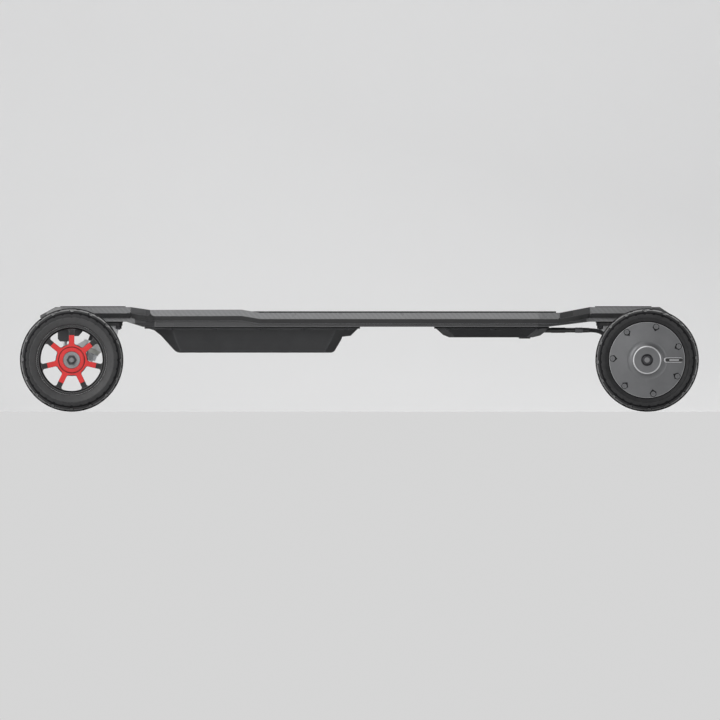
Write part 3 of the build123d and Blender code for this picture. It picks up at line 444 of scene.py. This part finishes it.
BLACK_ALLOY = painted("black_alloy", (0.050, 0.050, 0.053), (0.072, 0.072, 0.076), 0.40, coat=0.2)
DARK_STEEL = steel("dark_steel", (0.05, 0.05, 0.054), (0.10, 0.10, 0.105), 0.38, 1.0)
DULL_STEEL = steel("dull_steel", (0.055, 0.055, 0.058), (0.085, 0.085, 0.088), 0.42, 0.9)
SATIN_STEEL = steel("satin_steel", (0.19, 0.19, 0.195), (0.27, 0.27, 0.275), 0.38, 0.9)
BRIGHT_STEEL = steel("bright_steel", (0.42, 0.43, 0.44), (0.58, 0.59, 0.60), 0.30, 1.0)
SILVER = cast("silver_alloy", (0.74, 0.745, 0.755), (0.86, 0.865, 0.875), 0.38)
LOOKS = {
    "deck_shell": carbon(),
    "grip_tape": grip(),
    "battery_case": moulded(
        "battery_case", (0.030, 0.0305, 0.032), (0.038, 0.0385, 0.040), 0.46, coat=0.05, soften=0.004
    ),
    "controller_case": moulded(
        "controller_case", (0.018, 0.0185, 0.020), (0.024, 0.0245, 0.026), 0.48, coat=0.05, soften=0.003
    ),
    "charge_socket": moulded("socket", (0.014, 0.014, 0.015), (0.022, 0.022, 0.024), 0.5),
    "charge_flap": rubber("flap", (0.016, 0.016, 0.017), (0.030, 0.030, 0.031)),
    "power_button": moulded("button", (0.03, 0.03, 0.032), (0.05, 0.05, 0.052), 0.35, grain=2200.0, coat=0.4),
    "motor_plugs": plugs(),
    "battery_cells": painted("cell_wrap", (0.02, 0.09, 0.22), (0.03, 0.12, 0.30), 0.35, coat=0.5),
    "motor_windings": painted("copper", (0.50, 0.19, 0.06), (0.66, 0.27, 0.09), 0.35, metallic=1.0),
    "motor_stators": painted("laminations", (0.10, 0.10, 0.11), (0.17, 0.17, 0.18), 0.5, metallic=1.0),
}
for name in ("case_gaskets", "riser_pads", "pivot_cups"):
    LOOKS[name] = rubber("foam_rubber", (0.012, 0.012, 0.012), (0.024, 0.024, 0.024))
for name in ("battery_board", "controller_board"):
    LOOKS[name] = board()
for name in ("case_screws", "deck_bolts", "deck_bolt_nuts", "rear_axle_nuts", "rear_left_motor_bearings",
             "rear_right_motor_bearings"):
    LOOKS[name] = DARK_STEEL
for name in ("front_axle", "rear_axle"):
    LOOKS[name] = SATIN_STEEL
LOOKS["front_axle_nuts"] = DULL_STEEL
for name in ("kingpins", "kingpin_nuts", "bushing_washers", "front_left_bearings",
             "front_right_bearings"):
    LOOKS[name] = BRIGHT_STEEL
for name in ("front_baseplate", "rear_baseplate"):
    LOOKS[name] = BLACK_ALLOY
for name in ("front_hanger", "rear_hanger", "kingpin_blocks"):
    LOOKS[name] = SILVER
for end in ENDS:
    LOOKS[f"{end}_lower_bushing"] = rubber("pale_urethane", (0.55, 0.55, 0.50), (0.72, 0.72, 0.68), 0.4)
    LOOKS[f"{end}_upper_bushing"] = rubber("dark_urethane", (0.03, 0.03, 0.032), (0.06, 0.06, 0.062), 0.45)
front_hub = HUBS["front", "left"]
rear_hub = HUBS["rear", "left"]
RIM = rim("black_rim")
STAR = star("red_star", front_hub)
COVER = cover("cover_grey", rear_hub)
COVER_SCREW = turned("cover_screw", rear_hub, COVER_DARK, COVER_LIGHT, 0.42, 0.5)
ROTOR = turned("rotor_black", rear_hub, (0.018, 0.018, 0.020), (0.030, 0.030, 0.032), 0.42, 0.5)
BADGE = badge("badge", rear_hub)
MAGNET = painted("magnet", (0.45, 0.45, 0.46), (0.6, 0.6, 0.61), 0.25, metallic=1.0)
LOOKS["hub_washers"] = turned("hub_cap", front_hub, (0.22, 0.22, 0.225), (0.32, 0.32, 0.325), 0.34)
for side in SIDES:
    LOOKS[f"front_{side}_rim"] = RIM
    LOOKS[f"front_{side}_spoke_star"] = STAR
    LOOKS[f"rear_{side}_motor_cover"] = COVER
    LOOKS[f"rear_{side}_cover_screws"] = COVER_SCREW
    LOOKS[f"rear_{side}_motor_rotor"] = ROTOR
    LOOKS[f"rear_{side}_cover_badge"] = BADGE
    LOOKS[f"rear_{side}_motor_magnets"] = MAGNET
for name, material in LOOKS.items():
    nodes[name].data.materials.clear()
    nodes[name].data.materials.append(material)


# ---------------------------------------------------------------- tyres
FRONT_SIDEWALL = rubber("front_sidewall", (0.052, 0.052, 0.053), (0.066, 0.066, 0.067), 0.58)
REAR_SIDEWALL = rubber("rear_sidewall", (0.016, 0.016, 0.017), (0.026, 0.026, 0.027), 0.66)
TREAD_RUBBER = rubber("tread_rubber", (0.008, 0.008, 0.009), (0.016, 0.016, 0.017), 0.86, 0.15)
SHOULDER_RUBBER = rubber("shoulder_rubber", (0.026, 0.026, 0.027), (0.042, 0.042, 0.043), 0.68)
# painted highlight: the edge blocks' rubber is much paler than the rest of the tyre, standing in for light
# caught on their shoulders
EDGE_GLINT_RUBBER = rubber("edge_glint_rubber", (0.130, 0.130, 0.131), (0.180, 0.180, 0.181), 0.42, 0.5)
# A tyre's profile: radius and distance from its middle plane, in mm, from the bead out to the crown.
BEADS = {
    "front": [(55.9, 20.6), (56.6, 23.0), (58.2, 24.2)],
    "rear": [(55.9, 21.0), (60.7, 21.3), (61.3, 25.2)],
}
SIDE_LINE = [
    (62.0, 26.1), (65.6, 27.0), (66.6, 27.4), (67.4, 27.4), (68.0, 27.0), (69.0, 27.2), (71.0, 27.3),
    (73.4, 26.9), (75.2, 26.2), (75.9, 25.2), (76.4, 25.2), (77.2, 25.0), (78.6, 23.6), (79.5, 21.8),
]
CROWN_LINE = [
    (79.9, 20.6), (80.5, 18.0), (80.9, 15.4), (81.4, 12.6), (81.9, 9.4), (82.2, 6.6), (82.35, 3.4), (82.4, 1.4),
]
SIDEWALL_R = 67.9          # where the smooth sidewall ends
RIB_R = 75.6               # where the notched shoulder rib ends
TREAD_R = 76.0             # where the tread's blocks start
CROWN_HALF = 19.0          # half the width of the crown between the two rows of edge blocks
ZONES = [(SIDEWALL_R, 0), (73.4, 2), (RIB_R, 1), (78.3, 2), (80.3, 3)]    # outer radius, material index
BLOCK = 24                 # points round the tyre to each tread block
STEPS = 16 * BLOCK
GROOVE = 2.4               # depth in mm of the slanted grooves and of the one round the middle


def tread_depth(r, w, step, shift):
    """How far, in mm, the tread is cut back at a profile point and a step round the tyre."""
    if r < SIDEWALL_R:
        return 0.0
    if r < TREAD_R:
        return 1.1 if (step + 6) % 12 in (5, 6, 7) and r < RIB_R else 0.0
    if w > CROWN_HALF:
        gap = (step + BLOCK // 2) % BLOCK
        return 3.2 if gap in (10, 11, 12, 13) else (0.9 if gap in (9, 14) else 0.0)
    if w < 2.6:
        return GROOVE
    if 10.0 < w < 12.0:
        return 1.8
    return GROOVE if (step + int(w * 0.55) + shift) % BLOCK in (0, 1, 2) else 0.0


def make_tyre(end, side, turn):
    """A tyre with cut blocks, ribs and grooves, turned by some degrees; its faces are dressed by zone."""
    hub, sign = HUBS[end, side], SIDES[side]
    inner = [(r, -w) for r, w in reversed(BEADS["front"] + SIDE_LINE + CROWN_LINE)]
    line = BEADS[end] + SIDE_LINE + CROWN_LINE + inner
    mesh = bpy.data.meshes.new(f"{end}_{side}_tyre_body")
    made = bmesh.new()
    rings = []
    for step in range(STEPS):
        angle = 2 * math.pi * step / STEPS + math.radians(turn)
        ring = []
        for r, w in line:
            cut = tread_depth(r, abs(w), step + (BLOCK // 2 if w < 0 else 0), 0 if w > 0 else BLOCK // 4)
            reach = (r - cut) / 1000
            place = (math.cos(angle) * reach, sign * w / 1000, math.sin(angle) * reach)
            ring.append(made.verts.new(hub + Vector(place)))
        rings.append(ring)
    count = len(line)
    for step in range(STEPS):
        a, b = rings[step], rings[(step + 1) % STEPS]
        for i in range(count):
            j = (i + 1) % count
            face = made.faces.new((a[i], b[i], b[j], a[j]))
            middle = (line[i][0] + line[j][0]) / 2
            zone = next((zone for reach, zone in ZONES if middle < reach), 1)
            r, w = line[j]
            cut = tread_depth(r, abs(w), step + (BLOCK // 2 if w < 0 else 0), 0)
            face.material_index = 1 if zone == 3 and cut > 0.5 else zone    # a gap's faces stay dark, without the painted highlight
            face.smooth = True
    bmesh.ops.recalc_face_normals(made, faces=made.faces)
    made.to_mesh(mesh)
    made.free()
    mesh.set_sharp_from_angle(angle=math.radians(38))
    sidewall = FRONT_SIDEWALL if end == "front" else REAR_SIDEWALL
    for material in (sidewall, TREAD_RUBBER, SHOULDER_RUBBER, EDGE_GLINT_RUBBER):
        mesh.materials.append(material)
    body = bpy.data.objects.new(mesh.name, mesh)
    scene.collection.objects.link(body)
    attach(body, f"{end}_{side}_wheel")
    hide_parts(f"{end}_{side}_tyre")


for end, turn in (("front", 0.0), ("rear", 2.8)):
    for side in SIDES:
        make_tyre(end, side, turn)


# ---------------------------------------------------------------- truck bushings
BORE_R = 0.0055          # just outside the bushings' bore
BORE_EASE = 1.25         # how much wider the bore is made, to clear the kingpin when the truck leans
BUSHING_SEATS = {"upper": 0.018, "lower": -0.0123}    # along the kingpin from the ring's centre


def make_bushing(end, level):
    """A urethane bushing, copied from the CAD part with its bore eased to clear the kingpin."""
    hinge = joint(f"{end}_truck_lean")
    ring, lean = Vector(hinge["pos_m"]), Vector(hinge["axis"])
    kingpin = Vector((-ENDS[end] * lean.z, 0, abs(lean.x)))
    mesh = nodes[f"{end}_{level}_bushing"].data.copy()
    mesh.name = f"{end}_{level}_bushing_body"
    made = bmesh.new()
    made.from_mesh(mesh)
    bmesh.ops.remove_doubles(made, verts=made.verts, dist=1e-6)
    for vert in made.verts:
        foot = ring + kingpin * (vert.co - ring).dot(kingpin)
        if (vert.co - foot).length < BORE_R:
            vert.co = foot + (vert.co - foot) * BORE_EASE
    made.to_mesh(mesh)
    made.free()
    mesh.shade_smooth()
    mesh.set_sharp_from_angle(angle=math.radians(30))
    body = bpy.data.objects.new(mesh.name, mesh)
    scene.collection.objects.link(body)
    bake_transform(body)
    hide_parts(f"{end}_{level}_bushing")


for end in ENDS:
    for level, seat in BUSHING_SEATS.items():
        make_bushing(end, level)


# ---------------------------------------------------------------- motor leads
LEAD_ROUTE = [
    (0.3640, 0.0500, 0.1299), (0.3760, 0.0500, 0.1299), (0.3870, 0.0510, 0.1259), (0.3955, 0.0540, 0.1177),
    (0.4045, 0.0600, 0.1085), (0.4200, 0.0705, 0.1005), (0.4355, 0.0810, 0.0939),
]
LEAD_R = 0.0032            # a tenth of a millimetre inside the CAD lead
SLEEVE = braided()


def make_lead(side):
    """A sleeved motor lead from the controller's plug to the gland on the rear hanger."""
    curve = bpy.data.curves.new(f"{side}_lead_line", "CURVE")
    curve.dimensions = "3D"
    spline = curve.splines.new("NURBS")
    spline.points.add(len(LEAD_ROUTE) - 1)
    for point, (x, y, z) in zip(spline.points, LEAD_ROUTE):
        point.co = (x, SIDES[side] * y, z, 1)
    spline.order_u = 3
    spline.use_endpoint_u = True
    spline.resolution_u = 14
    curve.bevel_depth = LEAD_R
    curve.bevel_resolution = 6
    curve.use_fill_caps = True
    shape = bpy.data.objects.new(f"{side}_lead_shape", curve)
    scene.collection.objects.link(shape)
    bpy.context.view_layer.update()
    mesh = bpy.data.meshes.new_from_object(shape)
    bpy.data.objects.remove(shape)
    mesh.name = f"{side}_lead_sleeve"
    mesh.materials.clear()
    mesh.materials.append(SLEEVE)
    mesh.shade_smooth()
    lead = bpy.data.objects.new(mesh.name, mesh)
    scene.collection.objects.link(lead)
    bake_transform(lead)
    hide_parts(f"{side}_motor_lead")


for side in SIDES:
    make_lead(side)


# ---------------------------------------------------------------- floor, light and camera
def stage_material(name, tone):
    s = Surface(name, specular=0.2)
    s.colour(s.ramp(s.noise(1.5, 3.0), (0.3, tone * 0.985), (0.7, tone)))
    s.roughness(s.ramp(s.noise(8.0, 3.0), (0.3, 0.85), (0.7, 0.95)))
    return s.material


FLOOR_FRONT, FLOOR_BACK, FLOOR_SIDE = -4.0, 2.2, 7.0
COVE_R = 1.2               # radius of the curve from floor to wall
COVE_STEPS = 12
WALL_TOP = 5.0


def make_stage():
    """A pale floor that curves up into a wall behind."""
    outline = [(FLOOR_FRONT, 0.0), (FLOOR_BACK, 0.0)]
    for k in range(1, COVE_STEPS + 1):
        a = math.radians(90 * k / COVE_STEPS)
        outline.append((FLOOR_BACK + COVE_R * math.sin(a), COVE_R - COVE_R * math.cos(a)))
    outline.append((FLOOR_BACK + COVE_R, WALL_TOP))
    mesh = bpy.data.meshes.new("floor")
    points = [(x, y, z) for x in (-FLOOR_SIDE, FLOOR_SIDE) for y, z in outline]
    n = len(outline)
    faces = [(i, i + 1, n + i + 1, n + i) for i in range(n - 1)]
    mesh.from_pydata(points, [], faces)
    mesh.materials.append(stage_material("pale_floor", 0.88))
    mesh.shade_smooth()
    mesh.set_sharp_from_angle(angle=math.radians(40))
    floor = bpy.data.objects.new("floor", mesh)
    scene.collection.objects.link(floor)


def add_light(name, place, aim, size, power):
    light = bpy.data.lights.new(name, "AREA")
    light.shape = "RECTANGLE"
    light.size, light.size_y = size
    light.energy = power
    lamp = bpy.data.objects.new(name, light)
    lamp.location = place
    lamp.rotation_euler = (Vector(aim) - Vector(place)).to_track_quat("-Z", "Y").to_euler()
    scene.collection.objects.link(lamp)


GLOW = 0.16                # strength of the world's light on the object
PALE = 0.67                # tone of the world where it shows past the floor


def make_world():
    """A faint even glow that lights the object, and a paler tone where the world itself shows."""
    world = bpy.data.worlds.new("studio")
    world.use_nodes = True
    tree = world.node_tree
    glow = tree.nodes["Background"]
    glow.inputs["Color"].default_value = (0.97, 0.98, 1.0, 1)
    glow.inputs["Strength"].default_value = GLOW
    pale = tree.nodes.new("ShaderNodeBackground")
    pale.inputs["Color"].default_value = (1.0, 1.0, 1.0, 1)
    pale.inputs["Strength"].default_value = PALE
    choose = tree.nodes.new("ShaderNodeMixShader")
    tree.links.new(tree.nodes.new("ShaderNodeLightPath").outputs["Is Camera Ray"], choose.inputs[0])
    tree.links.new(glow.outputs[0], choose.inputs[1])
    tree.links.new(pale.outputs[0], choose.inputs[2])
    tree.links.new(choose.outputs[0], tree.nodes["World Output"].inputs["Surface"])
    scene.world = world


LIGHTS = [    # name, place, where it is aimed, size, watts
    ("key", (-2.2, -2.9, 1.9), (0, 0, 0.1), (2.0, 1.4), 70.0),
    ("front_fill", (-0.4, -3.4, 0.7), (0, 0, 0.1), (2.6, 1.0), 12.0),
    ("top", (-0.2, 0.1, 2.2), (0, 0, 0.1), (2.4, 1.2), 22.0),
    ("back", (0.9, 2.0, 1.5), (0, 0, 0.1), (2.0, 1.0), 8.0),
    ("left_edge", (-2.7, -0.9, 0.25), (-0.2, 0, 0.1), (1.2, 0.5), 9.0),
    ("right_edge", (2.7, -0.5, 0.7), (0.3, 0, 0.1), (1.2, 0.8), 9.0),
    ("wall", (0.0, 1.0, 2.6), (0, 3.6, 0.6), (4.0, 1.0), 26.0),
]
make_stage()
for light in LIGHTS:
    add_light(*light)
make_world()
scene.view_settings.view_transform = "Standard"

VIEW_WIDTH = 1.146         # metres across the picture
VIEW_MIDDLE = 0.0010       # how far the picture's middle is from the object's, along X
camera = bpy.data.cameras.new("camera")
camera.type = "ORTHO"
camera.ortho_scale = VIEW_WIDTH
camera.clip_start = 0.05
camera.clip_end = 20.0
viewer = bpy.data.objects.new("camera", camera)
viewer.location = (VIEW_MIDDLE, -3.5, HUBS["front", "left"].z)
viewer.rotation_euler = (math.radians(90), 0, 0)
scene.collection.objects.link(viewer)
scene.camera = viewer
